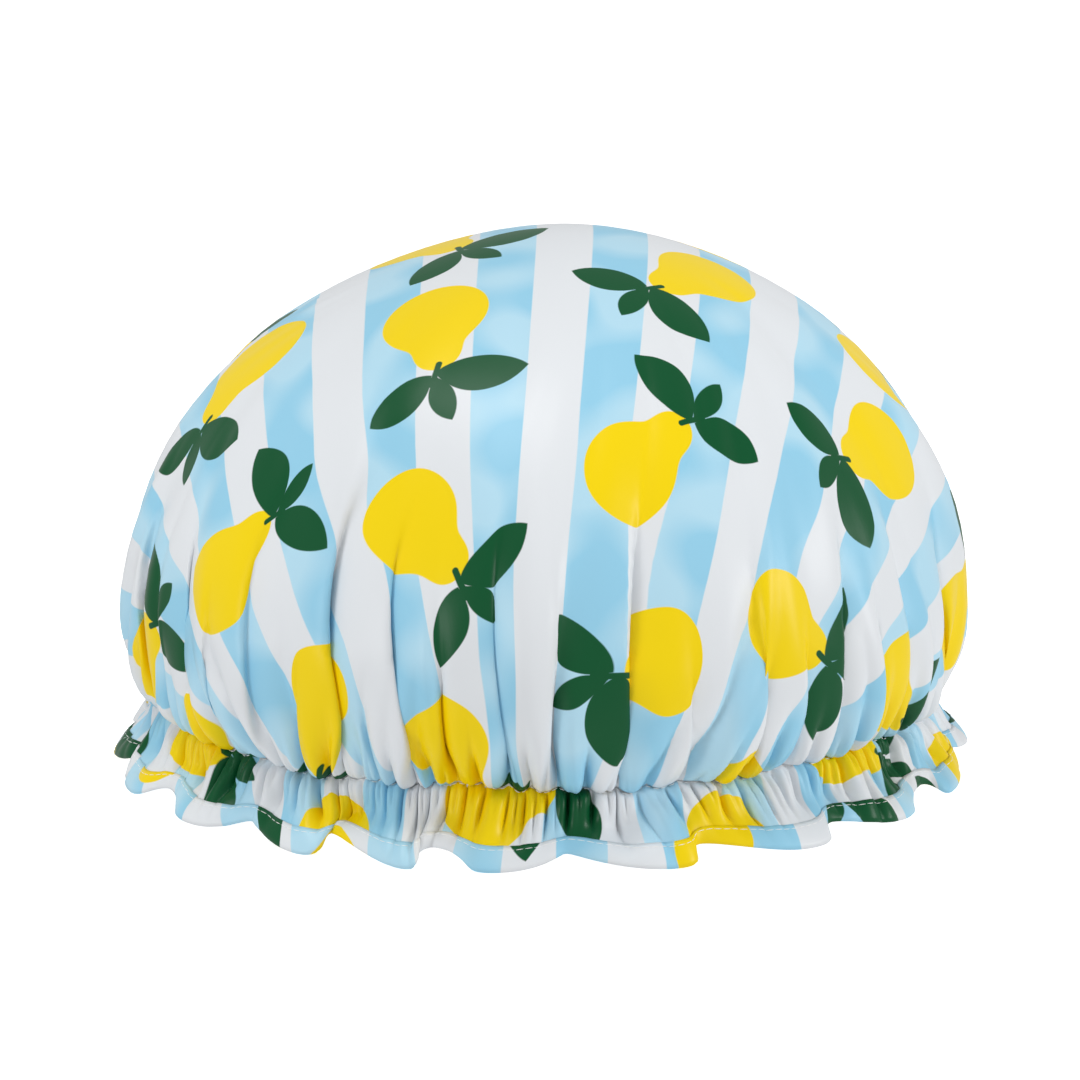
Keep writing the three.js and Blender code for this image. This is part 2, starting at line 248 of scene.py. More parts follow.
def smooth(value, start, end):
    """0 before start and 1 after end, with a soft step between them."""
    share = np.clip((value - start) / (end - start), 0, 1)
    return share * share * (3 - 2 * share)


def between(share, rise, fall):
    """1 between a rise and a fall, each given by where it starts and ends, and 0 beyond them."""
    return smooth(share, *rise) * (1 - smooth(share, *fall))


def waves(table, angle, run=0):
    """Sine waves round the cap, added up. The run shifts each by its drift."""
    return sum(size * np.sin(count * angle + drift * run + phase) for count, size, phase, drift in table)


def varied(table, phases, angle):
    """1, and a little more or less from place to place round the cap."""
    return 1 + sum(share * np.sin(count * angle + phase) for (count, share), phase in zip(table, phases))


def uneven(number, least):
    """A size from the least share to 1 for each numbered fold or wave, the same as the frame's."""
    return least + (1 - least) * (0.5 + 0.5 * np.sin(UNEVENNESS * number))


def angle_at(share):
    """The angle of a share of a turn, a little uneven, as the frame's folds are."""
    return TURN * share + waves(PLACE_WAVES, TURN * share)


def share_at(angle):
    """The share of a turn at an angle: what angle_at undoes."""
    shares = np.linspace(*PLACE_RANGE_SHARES, PLACE_STEPS)
    return np.interp(angle, angle_at(shares), shares)


def unit(vectors):
    return vectors / np.linalg.norm(vectors, axis=-1, keepdims=True)


def outward(points):
    """Level directions away from the cap's axis."""
    return unit(points * [1, 1, 0])


def around(points):
    """Points as (radius, angle, height) made into (x, y, z)."""
    radius, angle, height = points
    return np.stack([radius * np.cos(angle), radius * np.sin(angle), height + 0 * angle], -1)


def arc_lengths(points):
    """How far along a line each of its points lies."""
    return np.concatenate([[0], np.cumsum(np.linalg.norm(np.diff(points, axis=0), axis=1))])


# Meshes
def add_object(name, data):
    """A new object of the scene."""
    made = bpy.data.objects.new(name, data)
    bpy.context.collection.objects.link(made)
    return made


def mesh_piece(name, vertices, faces, corners=None):
    """A piece from its points and faces, with the corners' places on the flat cloth where it has them."""
    mesh = bpy.data.meshes.new(name)
    mesh.from_pydata(vertices.tolist(), [], faces)
    if corners is not None:
        layer = mesh.uv_layers.new(name="cloth")
        layer.data.foreach_set("uv", corners.ravel())
    mesh.shade_smooth()
    return add_object(name, mesh)


def quads_between(rows, columns, first=0):
    """The faces between rows of points that run right round, numbered from their first point."""
    i, j = np.meshgrid(np.arange(rows - 1), np.arange(columns), indexing="ij")
    here, after = first + i * columns + j, first + i * columns + (j + 1) % columns
    return np.stack([here, here + columns, after + columns, after], -1).reshape(-1, 4).tolist()


def corners_between(uv):
    """The corners of the same faces on the flat cloth. uv has one more column than there are points."""
    return np.stack([uv[:-1, :-1], uv[1:, :-1], uv[1:, 1:], uv[:-1, 1:]], 2).reshape(-1, 2)


def grid_mesh(name, points, uv):
    """A mesh of rows of points that run right round the cap."""
    rows, columns = points.shape[:2]
    return mesh_piece(name, points.reshape(-1, 3), quads_between(rows, columns), corners_between(uv))


def doubling_row(last, first, uv, finer_uv):
    """The faces, and their corners, from a row that starts at last to one with twice the columns."""
    columns = len(uv) - 1
    k = np.arange(columns)
    finer = first + 2 * k
    after = first + 2 * (k + 1) % (2 * columns)
    faces = np.stack([last + k, finer, finer + 1, after, last + (k + 1) % columns], -1).tolist()
    corners = np.stack([uv[k], finer_uv[2 * k], finer_uv[2 * k + 1], finer_uv[2 * k + 2], uv[k + 1]], 1)
    return faces, corners.reshape(-1, 2)


def dome_mesh(name, blocks, apex):
    """A mesh from an apex down over blocks of rows, each with twice the columns of the one above. A block
    is its points and its places on the flat cloth."""
    vertices = np.vstack([[apex]] + [points.reshape(-1, 3) for points, uv in blocks])
    points, uv = blocks[0]
    k = np.arange(points.shape[1])
    faces = np.stack([0 * k, 1 + k, 1 + (k + 1) % len(k)], -1).tolist()
    corners = [np.stack([0 * uv[0, k], uv[0, k], uv[0, k + 1]], 1).reshape(-1, 2)]
    first = 1
    for number, (points, uv) in enumerate(blocks):
        rows, columns = points.shape[:2]
        faces += quads_between(rows, columns, first)
        corners.append(corners_between(uv))
        last = first + (rows - 1) * columns
        first += rows * columns
        if number + 1 < len(blocks):
            joining, their_corners = doubling_row(last, first, uv[-1], blocks[number + 1][1][0])
            faces += joining
            corners.append(their_corners)
    return mesh_piece(name, vertices, faces, np.vstack(corners))


def thicken(piece, thickness, side, inner_material=0):
    """Gives a sheet its thickness: side 1 is outward, -1 inward and 0 half of it each way."""
    solid = piece.modifiers.new("thickness", "SOLIDIFY")
    solid.thickness = thickness
    solid.offset = side
    solid.material_offset = inner_material


# Folds and gathers
def crown_folds():
    """The fold lines. Each rises from a gather at the seam, some of them far up the crown."""
    random = np.random.default_rng(FOLD_SEED)
    lines = []
    for number in range(2 * CROWN_FOLDS):
        main = number % 2 == 0
        aside = random.uniform(-FOLD_ASIDE_SHARE, FOLD_ASIDE_SHARE) * TURN / (2 * CROWN_FOLDS)
        line = dict(angle=angle_at(number / (2 * CROWN_FOLDS)) + aside)
        line["slant"] = random.uniform(-FOLD_SLANT, FOLD_SLANT)
        line["curl"] = random.uniform(*FOLD_CURLS)
        line["phase"] = random.uniform(0, TURN)
        line["side"] = random.choice([-1, 1])
        size = random.uniform(*(MAIN_SIZE_SHARES if main else LESSER_SIZE_SHARES))
        line["start"] = random.uniform(*(MAIN_START_SHARES if main else LESSER_START_SHARES))
        kind = MAIN_FOLD if main else LESSER_FOLD
        if main:
            size *= uneven(number // 2, LEAST_FOLD_SHARE)
        line["width"] = kind["width"]
        for depth in ("crease", "trough", "overlap"):
            line[depth] = size * kind[depth]
        lines.append(line)
    return lines


def fold_shifts(angle, share, radius, lines):
    """How far the fold lines shift each point along its row, and how far inward."""
    along = np.zeros(np.broadcast_shapes(angle.shape, share.shape))
    inward = np.zeros_like(along)
    rise = 1 - share
    for line in lines:
        grown = smooth(share, line["start"], line["start"] + FOLD_GROWTH_SHARE * (1 - line["start"]))
        curl = line["curl"] * (np.sin(CURL_RATE * rise + line["phase"]) - math.sin(line["phase"]))
        centre = line["angle"] + rise * line["slant"] + curl
        offset = (angle - centre + math.pi) % TURN - math.pi
        x = offset * radius / (line["width"] * (1 + FOLD_SPREADING * (1 - grown)))
        bell = np.exp(-x * x / 2)
        wide = np.exp(-x * x / (2 * TROUGH_SPREADING**2))
        roll = x * bell * math.exp(0.5)
        along -= line["overlap"] * grown * roll
        inward += grown * (line["crease"] * bell + line["trough"] * wide
                           + line["side"] * ROLL_RISE_SHARE * line["overlap"] * roll)
    return along, inward


def tube_place(angle, distance, count):
    """Where each point lies across its tube: a whole number of half turns in a valley between two."""
    slant = waves(SLANT_WAVES, angle) * distance / SEAM_RADIUS
    return math.pi * count * share_at(angle + waves(PITCH_WAVES, angle) + slant)


def tubes(angle, distance, count, height, length, phases):
    """Round tubes of gathered cloth with sharp valleys between them, which grow and fade with the distance
    from the seam: how far each point shifts along its row, and how far inward."""
    place = tube_place(angle, distance, count)
    reach = distance / (length * varied(LENGTH_SHARES, (phases[2], 0), angle))
    fade = np.exp((1 - reach**TUBE_FADE_POWER) / TUBE_FADE_POWER)
    swell = height * varied(HEIGHT_SHARES, phases, angle) * (TUBE_HOLD_SHARE + reach) * fade
    aside = -TUBE_PINCH_SHARE * swell * np.sin(2 * place)
    return aside, swell * (TUBE_VALLEY_SHARE - np.abs(np.sin(place)))


def gathers(angle, distance, kinds):
    """All the tubes that the seam draws up, from fine to broad, and the groove in which it lies."""
    along = np.zeros(np.broadcast_shapes(np.shape(angle), np.shape(distance)))
    inward = along + GROOVE_DEPTH * np.exp(-((distance / GROOVE_LENGTH) ** 2))
    for count, height, length, start, phases in kinds:
        grown = smooth(distance, -start, start)
        aside, sunk = tubes(angle, distance, count, height, length, phases)
        along += grown * aside
        inward += grown * sunk
    return along, inward


def creases(angle, share):
    """How far the soft creases that wander down the dome dent it inward."""
    dent = np.zeros(np.broadcast_shapes(angle.shape, share.shape))
    for count, depth, wander, phase in DOME_CREASES:
        aside = wander * np.sin(WANDER_DRIFT * share + WANDER_COUNT * angle + phase)
        line = np.sin(count * angle + aside + phase)
        spread = 0.5 + 0.5 * np.sin(SPREAD_COUNT * angle + SPREAD_DRIFT * share + 2 * phase)
        dent += depth * spread * (np.exp(CREASE_SHARPNESS * (line - 1)) - CREASE_FILL_SHARE)
    return dent * between(share, CREASE_RISE_SHARES, CREASE_FALL_SHARES)


def seam_sway(angle):
    """The seam rises and falls a little round the mouth."""
    scallop = np.abs(np.sin(tube_place(angle, 0.0, SCALLOP_COUNT)))
    scallop = scallop * varied(SCALLOP_HEIGHT_SHARES, (1,), angle)
    return waves(SEAM_SWAYS, angle) + SCALLOP * (SCALLOP_MIDDLE_SHARE - scallop)


def held_in(inward, room):
    """A fold goes in no further than its room."""
    return np.where(inward > 0, room * np.tanh(inward / room), inward)


# The crown and the film inside it
def crown_outline(row):
    """The crown's radius and height with no folds. Row 0 is its top, 1 its widest level and 2 the seam."""
    up = np.clip(row, 0, 1) * math.pi / 2
    down = np.clip(row - 1, 0, 1) * TUCK_ANGLE
    tuck = (CROWN_RADIUS - SEAM_RADIUS) / (1 - math.cos(TUCK_ANGLE))
    drop = (WIDEST_HEIGHT - SEAM_HEIGHT) / math.sin(TUCK_ANGLE)
    radius = np.where(row <= 1, CROWN_RADIUS * np.sin(up) ** SHOULDER_POWER,
                      CROWN_RADIUS - tuck * (1 - np.cos(down)))
    height = np.where(row <= 1, WIDEST_HEIGHT + (TOP_HEIGHT - WIDEST_HEIGHT) * np.cos(up),
                      WIDEST_HEIGHT - drop * np.sin(down))
    return radius, height


def crown_profile(shares):
    """Radius, height, outward normal and cloth radius at shares of the way from the top to the seam."""
    radius, height = crown_outline(np.linspace(0, 2, PROFILE_STEPS))
    arc = arc_lengths(np.stack([radius, height], 1))
    cloth = shares * arc[-1]
    slope_out = np.interp(cloth, arc, np.gradient(radius, arc))
    slope_up = np.interp(cloth, arc, np.gradient(height, arc))
    length = np.hypot(slope_out, slope_up)
    return (np.interp(cloth, arc, radius)[:, None], np.interp(cloth, arc, height)[:, None],
            (-slope_up / length)[:, None], (slope_out / length)[:, None], cloth[:, None])


CROWN_ARC = float(crown_profile(np.array([1.0]))[-1][0, 0])


def cloth_angle(columns, spare=0):
    """Angles round the cap from its back, where the strips are joined, with spare ones past the end."""
    return BACK + TURN * np.arange(columns + spare)[None, :] / columns


def crown_shares():
    """Shares of the way from the crown's top to its seam: even down the dome, then closer together."""
    dome = np.arange(1, DOME_ROWS + 1) / DOME_ROWS * DOME_SHARE
    left = 1 - np.arange(1, GATHERED_ROWS + 1) / GATHERED_ROWS
    return np.concatenate([dome, 1 - GATHERED_SHARE * left**ROW_CROWDING])[:, None]


def crown_shape(lines, columns, share):
    """The crown's profile at each row, its points' angles, and how far its folds take them inward."""
    radius, height, out, up, cloth = crown_profile(share[:, 0])
    up = up * (1 - LEVEL_SHARE * smooth(share, *LEVEL_START_SHARES))
    length = np.hypot(out, up)
    angle = cloth_angle(columns)
    along, inward = fold_shifts(angle, share, radius, lines)
    along = along * (1 - (1 - SEWN_OVERLAP_SHARE) * smooth(share, *SEWN_SHARES))
    inward -= waves(DOME_SWAYS, angle, share) * between(share, SWAY_RISE_SHARES, SWAY_FALL_SHARES)
    inward += creases(angle, share)
    gathered = share > DOME_SHARE
    inward = held_in(inward, np.where(gathered, radius - SEAM_RADIUS + LEAST_ROOM, CROWN_RADIUS))
    pucker_along, pucker = gathers(angle, (1 - share) * CROWN_ARC, CROWN_GATHERS)
    room = np.where(gathered, (radius - INNERMOST) * length / out, CROWN_RADIUS)
    return (radius, height, out / length, up / length, cloth, angle + (along + pucker_along) / radius,
            held_in(inward + pucker, room))


def lean(points):
    """The crown's top leans a little to +X."""
    rise = np.clip((points[..., 2] - WIDEST_HEIGHT) / (TOP_HEIGHT - WIDEST_HEIGHT), 0, None)
    points[..., 0] += APEX_LEAN * rise**2
    return points


def crown_place(share, radius, height, out, up, angle, inward):
    """Points of the crown or of what lies inside it, leant and swayed as the crown is."""
    sway = seam_sway(angle) * smooth(share, *SEAM_SWAY_SHARES)
    return lean(around((radius - inward * out, angle, height - inward * up + sway)))


def crown_uv(cloth, columns):
    angle = cloth_angle(columns, 1)
    return np.stack([cloth * np.cos(angle), cloth * np.sin(angle)], -1)


def crown(lines):
    """The satin crown, with twice the columns where it is gathered."""
    share = crown_shares()
    blocks = []
    for part, columns in ((share[:DOME_ROWS], COLUMNS), (share[DOME_ROWS:], FINE_COLUMNS)):
        radius, height, out, up, cloth, angle, inward = crown_shape(lines, columns, part)
        points = crown_place(part, radius, height, out, up, angle, inward)
        blocks.append((points, crown_uv(cloth, columns)))
    apex = blocks[0][0][0].mean(0)
    apex[2] = TOP_HEIGHT
    piece = dome_mesh("crown_satin", blocks, apex)
    thicken(piece, SATIN_THICKNESS, -1)
    return piece


def neighbours(values, reach):
    """The values, each shifted by every number of columns up to a reach either way."""
    return [np.roll(values, step, 1) for step in range(-reach, reach + 1)]


def lining(lines):
    """The film lies inside everything the crown's folds reach, and follows them softly."""
    share = crown_shares()
    rows = len(share)
    radius, height, out, up, cloth, angle, inward = crown_shape(lines, FINE_COLUMNS, share)
    place = np.round((angle - BACK) / TURN * FILM_COLUMNS).astype(int) % FILM_COLUMNS
    deepest = np.full((rows, FILM_COLUMNS), -SATIN_THICKNESS * LOOSEST_LAYERS)
    np.maximum.at(deepest, (np.broadcast_to(np.arange(rows)[:, None], place.shape), place), inward)
    soft = np.mean(neighbours(np.max(neighbours(deepest, FILM_WIDENING), 0), FILM_SOFTENING), 0)
    soft = soft + FILM_GAP * (1 - FILM_CLOSING_SHARE * smooth(share, *FILM_CLOSING_START_SHARES))
    points = crown_place(share, radius, height, out, up, cloth_angle(FILM_COLUMNS), soft)
    apex = points[0].mean(0)
    apex[2] = TOP_HEIGHT - FILM_GAP
    piece = dome_mesh("lining_film", [(points, crown_uv(cloth, FILM_COLUMNS))], apex)
    thicken(piece, FILM_THICKNESS, -1)
    return piece


# The frill and its hem
def read_round(values, place):
    """Values given at whole places round a ring, read softly between them."""
    first = np.floor(place).astype(int)
    share = smooth(place - first, 0, 1)
    values = np.array(values)
    return values[first % len(values)] * (1 - share) + values[(first + 1) % len(values)] * share


def hem_wave(hem, angle):
    """How far the hem stands out, about 1 on a wave and -1 between two, and the wave's size and lean."""
    place = share_at(angle) * FRILL_WAVES
    wave = np.cos(TURN * place) - VALLEY_SHARE * np.cos(2 * TURN * place)
    return wave, read_round(hem["sizes"], place), read_round(hem["leans"], place)


def hem_waves():
    """The hem's waves, uneven in size and in lean, and the angles at which equal lengths of hem lie."""
    random = np.random.default_rng(WAVE_SEED)
    sizes = [uneven(n, LEAST_WAVE_SHARE) * random.uniform(*WAVE_SIZE_SHARES) for n in range(FRILL_WAVES)]
    leans = [random.uniform(*WAVE_LEAN_SHARES) * random.choice([-1, 1]) for n in range(FRILL_WAVES)]
    hem = dict(sizes=sizes, leans=leans)
    angle = np.linspace(0, TURN, WAVE_STEPS)
    wave, size, lean_share = hem_wave(hem, angle)
    across = CROWN_RADIUS * angle + WAVE_LEAN * lean_share * wave
    arc = arc_lengths(np.stack([across, WAVE_HEIGHT * size * wave], 1))
    hem["even"] = angle
    hem["shift"] = np.interp(angle, arc / arc[-1] * TURN, angle) - angle
    return hem


def frill_shape(lines, hem, down, angle):
    """The frill's radius, angle and height at shares of the way down from the seam to its edge."""
    swing = FRILL_END - FRILL_START
    steep = FRILL_START + swing * down
    out = FRILL_CUT * (np.sin(steep) - math.sin(FRILL_START)) / swing
    drop = FRILL_CUT * (math.cos(FRILL_START) - np.cos(steep)) / swing
    turned = smooth(down, *FRILL_TURN_SHARES)
    normal_out = 1 + turned * (np.sin(steep) - 1)
    normal_up = turned * np.cos(steep)
    along, inward = fold_shifts(angle, 1 - FRILL_MIRROR_SHARE * down, SEAM_RADIUS, lines)
    along = along * SEWN_OVERLAP_SHARE * (1 - smooth(down, *FRILL_OVERLAP_SHARES))
    inward = held_in(inward, LEAST_ROOM + FRILL_ROOM * down) * (1 - smooth(down, *FRILL_FOLD_SHARES))
    pucker_along, pucker = gathers(angle, down * FRILL_CUT, FRILL_GATHERS)
    inward = inward + pucker
    grown = down**WAVE_POWER
    place = angle + grown * np.interp(angle % TURN, hem["even"], hem["shift"])
    wave, size, lean_share = hem_wave(hem, place)
    lift = HEM_LIFT * size * (1 - wave) / 2 * down**2
    radius = SEAM_RADIUS + out - inward * normal_out + grown * WAVE_HEIGHT * size * wave
    height = SEAM_HEIGHT - SEAM_GAP - drop - inward * normal_up + lift + seam_sway(angle) * (1 - down) ** 2
    aside = along + pucker_along + grown * WAVE_LEAN * lean_share * wave
    return radius, place + aside / CROWN_RADIUS, height


def frill_points(lines, hem, down, angle, offset=0.0):
    """Points of the frill, or of what lies at an offset from it, outward or inward."""
    middle = around(frill_shape(lines, hem, down, angle))
    if np.all(offset == 0):
        return middle
    lower = around(frill_shape(lines, hem, down + NORMAL_STEP, angle))
    upper = around(frill_shape(lines, hem, down - NORMAL_STEP, angle))
    beside = around(frill_shape(lines, hem, down, angle + NORMAL_STEP))
    before = around(frill_shape(lines, hem, down, angle - NORMAL_STEP))
    return middle + offset * unit(np.cross(beside - before, upper - lower))


def strip_uv(down_lengths, columns, start):
    """Flat places on the printed cloth for a strip cut from it at some place."""
    along = np.arange(columns + 1)[None, :] / columns * FRILL_LENGTH
    return np.stack(np.broadcast_arrays(start[0] + along, start[1] + down_lengths), -1)


def frill(lines, hem):
    """The gathered strip, from the end of its allowance under the seam down to the hem band."""
    down = (np.arange(FRILL_ROWS) / (FRILL_ROWS - 1) * (1 - FRILL_SHORT_SHARE))[:, None]
    points = frill_points(lines, hem, down, cloth_angle(FINE_COLUMNS))
    under = []
    for inward, rise in ALLOWANCE_PLACES:
        ring = points[0].copy()
        flat = np.hypot(ring[:, 0], ring[:, 1])
        ring[:, :2] *= (np.minimum(flat, SEAM_RADIUS - inward) / flat)[:, None]
        ring[:, 2] += rise
        under.append(ring)
    points = np.concatenate([np.array(under), points])
    lengths = np.concatenate([-np.array(ALLOWANCE_LENGTHS)[:, None], down * FRILL_CUT])
    piece = grid_mesh("frill_satin", points, strip_uv(lengths, FINE_COLUMNS, FRILL_PRINT_PLACE))
    thicken(piece, SATIN_THICKNESS, 0, 1)
    return piece


def hem_band(lines, hem):
    """A strip folded round the frill's edge: down its outside, round the edge and up its inside."""
    steps = np.linspace(1 - HEM_DEPTH / FRILL_CUT, 1, BAND_ROWS)[:, None]
    down = np.concatenate([steps, [[1 + HEM_ROUND_SHARE * HEM_HALF / FRILL_CUT]], steps[::-1]])
    outside = np.full((BAND_ROWS, 1), HEM_HALF)
    outside[0] *= HEM_EDGE_SHARE
    offset = np.concatenate([outside, [[0.0]], -outside[::-1]])
    points = frill_points(lines, hem, down, cloth_angle(COLUMNS), offset[..., None])
    lengths = np.concatenate([steps - 1, [[0.0]], 1 - steps[::-1]]) * FRILL_CUT
    piece = grid_mesh("hem_band_satin", points, strip_uv(lengths, COLUMNS, BAND_PRINT_PLACE))
    thicken(piece, SATIN_THICKNESS, 1)
    return piece


# The casing
def tape_rows():
    """The radius and height of each of the tape's rows: up outside the elastic, over its top, and down
    inside it to the seam."""
    inward = gathers(cloth_angle(COLUMNS), 0.0, CROWN_GATHERS)[1]
    ruche = (inward - inward.min()) / np.ptp(inward) - 0.5
    top = TAPE_TOP - TAPE_THICKNESS / 2
    rows = []
    for rise, share in zip(OUTSIDE_RISES, OUTSIDE_GATHER_SHARES):
        rows.append((np.minimum(TAPE_OUTER, SEAM_RADIUS - TAPE_GAP - inward * share), SEAM_HEIGHT + rise))
    for inset, sink in zip(OVER_INSETS, OVER_SINKS):
        rows.append((TAPE_OUTER - inset - TOP_RUCHE_DEPTH * ruche, top - sink + TOP_RUCHE_RISE * ruche))
    for rise, outset, share in zip(INSIDE_RISES, INSIDE_OUTSETS, INSIDE_RUCHE_SHARES):
        rows.append((TAPE_INNER + outset - RUCHE_DEPTH * share * ruche, SEAM_HEIGHT + rise))
    return rows


def casing():
    """The tape folded over the elastic, its points, and its width before it was folded."""
    angle = cloth_angle(COLUMNS)
    points = np.concatenate([around((radius, angle, height)) for radius, height in tape_rows()])
    lengths = arc_lengths(points[:, 0])[:, None]
    piece = grid_mesh("casing_tape_fold", points, strip_uv(lengths, COLUMNS, (0, 0)))
    thicken(piece, TAPE_THICKNESS, 0)
    return piece, points, lengths[-1, 0]


# Stitches
def stitch_faces(count):
    """The faces of some stitches, each a tube with closed ends."""
    faces = []
    for first in range(0, count * STITCH_STEPS * STITCH_SIDES, STITCH_STEPS * STITCH_SIDES):
        last = first + (STITCH_STEPS - 1) * STITCH_SIDES
        for here in range(first, last, STITCH_SIDES):
            there = here + STITCH_SIDES
            for side in range(STITCH_SIDES):
                after = (side + 1) % STITCH_SIDES
                faces.append((here + side, here + after, there + after, there + side))
        faces.append(tuple(range(first + STITCH_SIDES - 1, first - 1, -1)))
        faces.append(tuple(range(last, last + STITCH_SIDES)))
    return faces


def stitch_row(name, path, normals, kind, closed=True):
    """Small stitches along a path on cloth, each a round-ended thread that dips in at both ends."""
    stitch, gap, radius = kind
    if closed:
        path, normals = np.vstack([path, path[:1]]), np.vstack([normals, normals[:1]])
    arc = arc_lengths(path)
    count = max(1, round(arc[-1] / (stitch + gap)))
    pitch = arc[-1] / count
    share = np.linspace(0, 1, STITCH_STEPS)
    starts = (np.arange(count)[:, None] + 0.5 * gap / (stitch + gap)) * pitch
    at = starts + share * pitch * stitch / (stitch + gap)
    middle = np.stack([np.interp(at, arc, path[:, k]) for k in range(3)], -1)
    normal = unit(np.stack([np.interp(at, arc, normals[:, k]) for k in range(3)], -1))
    beside = np.cross(unit(np.gradient(middle, axis=1)), normal)
    bulge = np.sqrt(np.sin(math.pi * np.clip(share, STITCH_END_SHARE, 1 - STITCH_END_SHARE)))[None, :, None]
    middle = middle + normal * radius * (STITCH_BOW * bulge - STITCH_SINK)
    turn = TURN * np.arange(STITCH_SIDES)[None, None, :, None] / STITCH_SIDES
    ring = np.cos(turn) * beside[:, :, None] + np.sin(turn) * normal[:, :, None]
    rings = middle[:, :, None] + radius * bulge[..., None] * ring
    return mesh_piece(name, rings.reshape(-1, 3), stitch_faces(count))


def stitches_on_frill(name, lines, hem, down, angle, offset, kind, closed=True):
    """Stitches on the frill or its band, at an offset from its middle."""
    path = frill_points(lines, hem, down, angle, offset).reshape(-1, 3)
    further = frill_points(lines, hem, down, angle, 2 * offset).reshape(-1, 3)
    return stitch_row(name, path, unit(further - path), kind, closed)


def hem_stitches(lines, hem):
    """The row that holds the hem band, as seen outside and inside."""
    down = np.array([[1 - (HEM_DEPTH - HEM_STITCH_INSET) / FRILL_CUT]])
    surface = HEM_HALF + SATIN_THICKNESS
    return [stitches_on_frill(name, lines, hem, down, cloth_angle(COLUMNS), offset, HEM_STITCH)
            for name, offset in (("hem_stitches", surface), ("hem_stitches_inside", -surface))]


def casing_stitches(tape_points):
    """The row that closes the casing, on its inner side."""
    path = tape_points[TAPE_STITCH_ROW]
    return stitch_row("casing_stitches", path, -outward(path), CASING_STITCH)


def gather_stitches(lines, hem):
    """The row between crown and frill, which draws up the gathers."""
    path = frill_points(lines, hem, np.array([[0.0]]), cloth_angle(COLUMNS))[0]
    return stitch_row("gather_stitches", path + [0, 0, SEAM_GAP / 2], outward(path), GATHER_STITCH)


def strip_join_stitches(name, lines, hem, shares, surface):
    """The stitches that join a strip's ends at the back, on its inner side."""
    down = np.linspace(*shares, JOIN_POINTS)[:, None]
    angle = np.array([[BACK]])
    return stitches_on_frill(name, lines, hem, down, angle, -surface, JOIN_STITCH, closed=False)


def tape_join_stitches(tape_points):
    """The stitches that join the tape's ends at the back, on its inner side."""
    path = tape_points[TAPE_JOIN_ROWS, 0]
    inward = -outward(path)
    return stitch_row("tape_join_stitches", path + inward * TAPE_THICKNESS / 2, inward, TAPE_JOIN_STITCH,
                      closed=False)


# Colours, as linear red, green, blue and alpha
WHITE = (0.772, 0.80, 0.828, 1)
# The stripes' blue: random clouds of it run deeper, a painted shade, and paler, a painted sheen.
BLUE_WITH_PAINTED_SHADE = (0.31, 0.63, 0.82, 1)
BLUE_WITH_PAINTED_SHEEN = (0.47, 0.73, 0.87, 1)
YELLOW = (0.93, 0.68, 0.001, 1)
GREEN = (0.002, 0.086, 0.026, 1)
FILM_MILK = (0.8796, 0.8963, 0.9047, 1)
TAPE_WHITE = (0.8148, 0.8228, 0.8388, 1)
THREAD_SHADE = (0.9047, 0.9047, 0.8879, 1)
ELASTIC_CREAM = (0.8879, 0.8879, 0.8632, 1)
FLOOR_WHITE = (0.9, 0.9, 0.9, 1)
PURE_WHITE = (1, 1, 1, 1)

# The print on the flat cloth: the stripes, their blue clouded with painted sheen and shade, and the size of
# a pear's cell
STRIPE = 0.038
CELL = 0.080
PRINT_EDGE = 0.00018
SHEEN_CLOUD_SCALE = 38.0
SHEEN_CLOUD_SHARES = (0.38, 0.62)
FRILL_PRINT_PLACE = (0.31, 0.12)
BAND_PRINT_PLACE = (0.57, 0.43)
# A pear about the middle of its cell: its two discs and its knot have a place across and up, and a radius
PEAR_BODY = (0, -0.0175, 0.0180)
PEAR_NECK = (0.0008, 0.0045, 0.0076)
PEAR_BLEND = 0.014
STALK_FOOT = (0.0008, 0.0095, 0)
STALK_RUN = (0.0027, 0.0075, 0)
STALK_RADIUS = 0.0011
KNOT = (0.0036, 0.0172, 0.0024)
LEAF_BASE = (0.003, 0.0155, 0)
# Each leaf: its turn, length, width and how much it bends
LEAVES = ((1.40, 0.032, 0.0160, 9.0), (-1.15, 0.0265, 0.0140, -9.0), (0.20, 0.0200, 0.0090, 6.0))

# Finishes: how much lighter the satin's back and the film are, and how rough and glossy each cloth is
BACK_PALE_SHARE = 0.5
FILM_MILK_SHARE = 0.88
SATIN_ROUGHNESS = 0.36
SATIN_GLOSS = 0.22
FILM_ROUGHNESS = 0.3
TAPE_ROUGHNESS = 0.85
THREAD_ROUGHNESS = 0.6
ELASTIC_ROUGHNESS = 0.8
FLOOR_ROUGHNESS = 0.9
# Noise of threads: how fine, and how much detail
SATIN_THREADS = (900.0, 2.0)
COTTON_TWIST = (4000.0, 1.0)
# Weaves: how far apart their ribs are
TWILL_PITCH = 0.0007
RIB_PITCH = 0.0012
CORD_PITCH = 0.0008
# Bumps: strength and depth
SATIN_BUMP = (0.06, 0.0002)
TAPE_BUMP = (0.25, 0.0002)
THREAD_BUMP = (0.3, 0.0001)
ELASTIC_BUMP = (0.5, 0.0003)
BUMP_FILTER = 1.0


